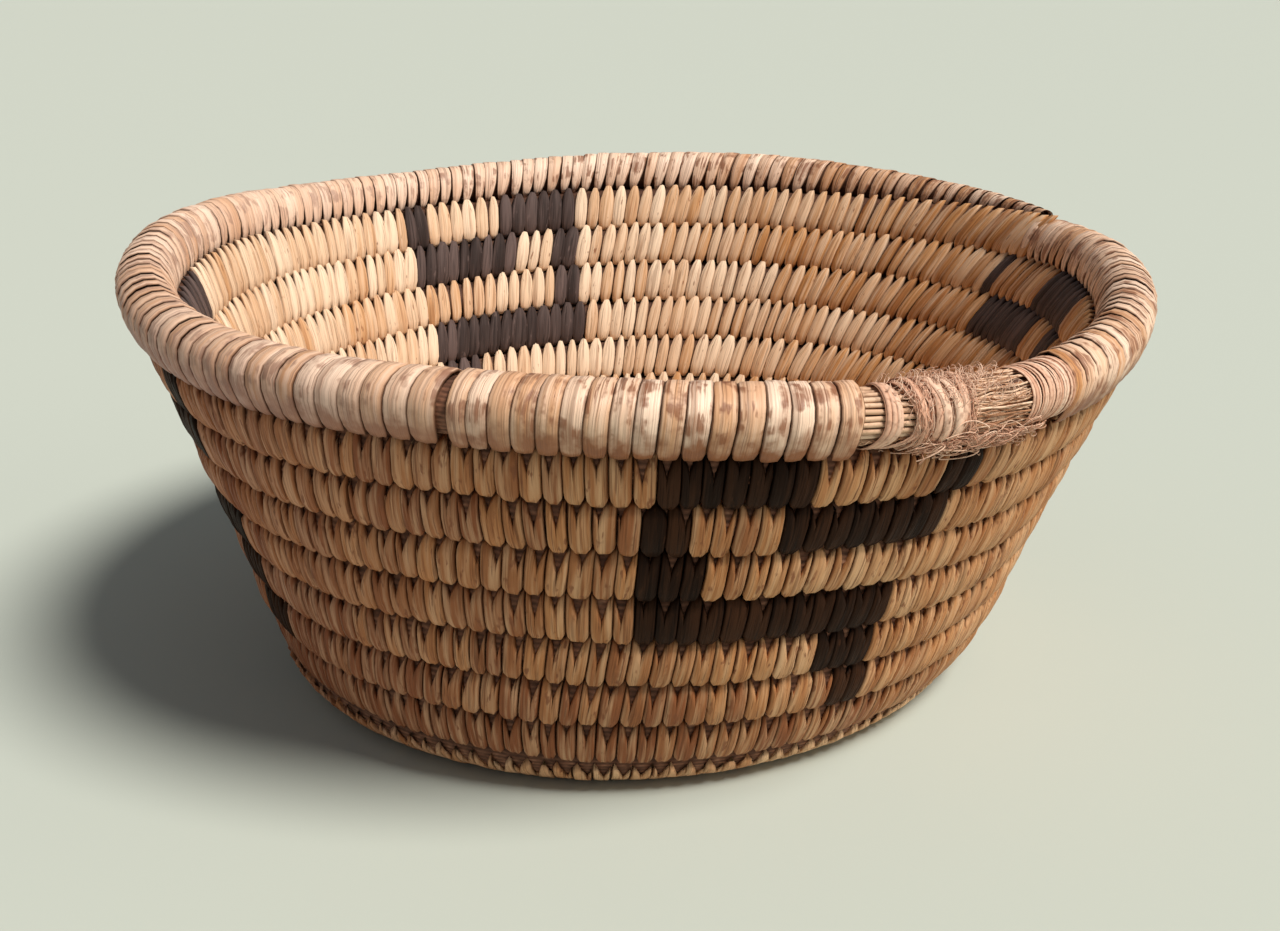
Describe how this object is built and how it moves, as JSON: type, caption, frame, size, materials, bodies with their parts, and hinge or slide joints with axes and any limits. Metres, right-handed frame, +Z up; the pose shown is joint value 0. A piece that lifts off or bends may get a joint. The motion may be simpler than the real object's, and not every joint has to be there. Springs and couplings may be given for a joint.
{
  "type": "coiled basket bowl",
  "caption": "Round flat-bottomed coiled basket bowl with a flared wall, an overcast rim with worn breaks and dark stepped frets sewn round the wall.",
  "frame": {"origin": "on the floor under the middle of the basket's outline", "axes": "+Z up out of the open mouth, -Y towards the side with the frayed rim"},
  "size_m": [0.2434, 0.2466, 0.1056],
  "materials": {
    "light_splint": "dry satin leaf splint, straw to tan",
    "rim_splint": "worn, slightly polished leaf splint with red-brown flecks",
    "dark_splint": "satin near-black splint",
    "grass_bundle": "matt reddish-brown grass stems",
    "torn_splint": "frayed matt fibre"
  },
  "bodies": {
    "root": {"back_fret_arm": "dark_splint", "back_fret_bar": "dark_splint", "back_fret_cap": "dark_splint", "back_fret_drop": "dark_splint", "back_fret_foot": "dark_splint", "back_fret_post": "dark_splint", "back_fret_post_top": "dark_splint", "back_fret_tip": "dark_splint", "base_stitches": "light_splint", "foundation_coil": "grass_bundle", "front_fret_arm": "dark_splint", "front_fret_bar": "dark_splint", "front_fret_cap": "dark_splint", "front_fret_drop": "dark_splint", "front_fret_foot": "dark_splint", "front_fret_post": "dark_splint", "front_fret_post_top": "dark_splint", "front_fret_tip": "dark_splint", "left_fret_arm": "dark_splint", "left_fret_bar": "dark_splint", "left_fret_cap": "dark_splint", "left_fret_drop": "dark_splint", "left_fret_foot": "dark_splint", "left_fret_post": "dark_splint", "left_fret_post_top": "dark_splint", "left_fret_tip": "dark_splint", "light_stitches_round_1": "light_splint", "light_stitches_round_2": "light_splint", "light_stitches_round_3": "light_splint", "light_stitches_round_4": "light_splint", "light_stitches_round_5": "light_splint", "light_stitches_round_6": "light_splint", "light_stitches_round_7": "light_splint", "light_stitches_round_8": "light_splint", "right_fret_arm": "dark_splint", "right_fret_bar": "dark_splint", "right_fret_cap": "dark_splint", "right_fret_drop": "dark_splint", "right_fret_foot": "dark_splint", "right_fret_post": "dark_splint", "right_fret_post_top": "dark_splint", "right_fret_tip": "dark_splint", "rim_stitches_back": "rim_splint", "rim_stitches_band": "rim_splint", "rim_stitches_front": "rim_splint", "rim_stitches_right": "rim_splint", "rim_torn_shreds": "torn_splint", "start_wrap": "light_splint"}
  },
  "joints": []
}
